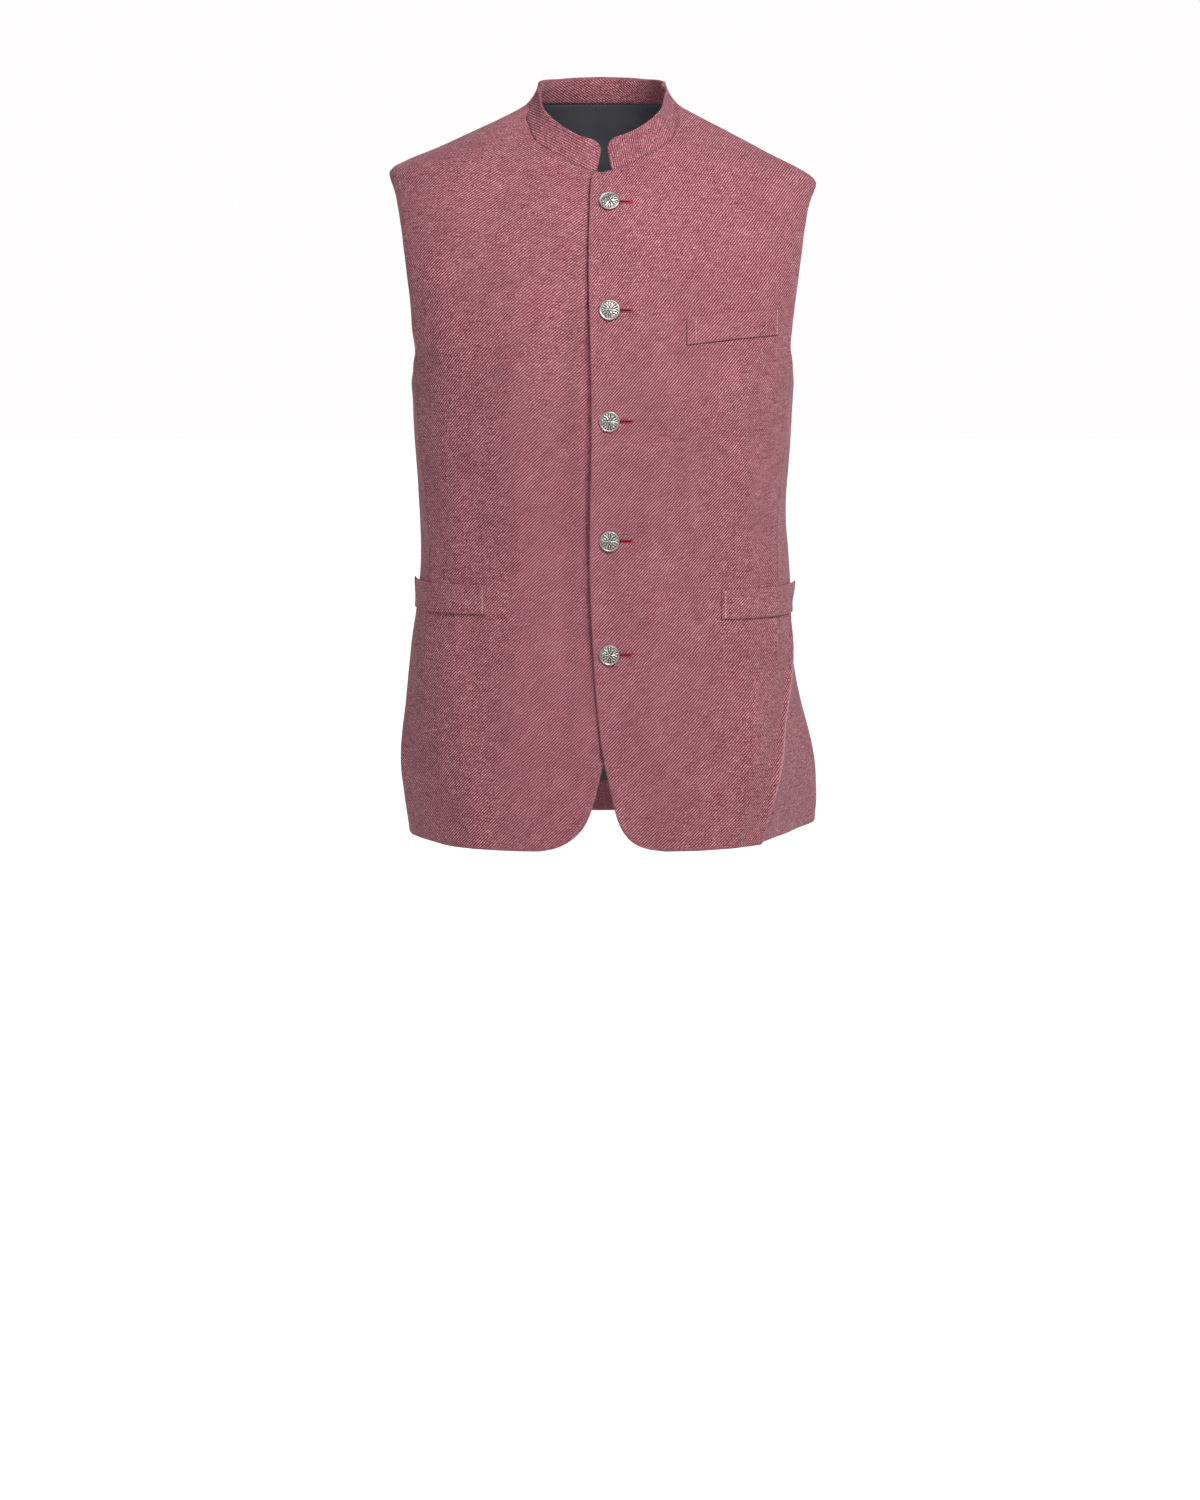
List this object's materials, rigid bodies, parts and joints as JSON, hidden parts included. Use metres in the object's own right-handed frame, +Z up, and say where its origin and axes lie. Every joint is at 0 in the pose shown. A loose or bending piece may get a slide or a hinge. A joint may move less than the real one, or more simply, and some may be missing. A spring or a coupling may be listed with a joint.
{
  "type": "nehru jacket",
  "caption": "Sleeveless nehru jacket with a stand collar, a buttoned lapped front and welt pockets, held in its worn shape and open at neck, armholes and hem.",
  "frame": {"origin": "middle of the neck opening, at the height of the shoulder line, where the wearer holds the jacket up", "axes": "+Z up along the wearer's spine, -Y the way the wearer faces, +X to the wearer's left"},
  "size_m": [0.4333, 0.273, 0.7579],
  "materials": {
    "wine_twill": "matt heathered twill with a dry, linen-like face",
    "antique_silver": "cast, darkened in the hollows and rubbed bright on the rim"
  },
  "bodies": {
    "root": {"front_left": "wine_twill", "front_right": "wine_twill", "back": "wine_twill", "collar": "wine_twill", "chest_welt": "wine_twill", "pocket_welt_left": "wine_twill", "pocket_welt_right": "wine_twill", "button_1": "antique_silver", "button_2": "antique_silver", "button_3": "antique_silver", "button_4": "antique_silver", "button_5": "antique_silver"}
  },
  "joints": []
}
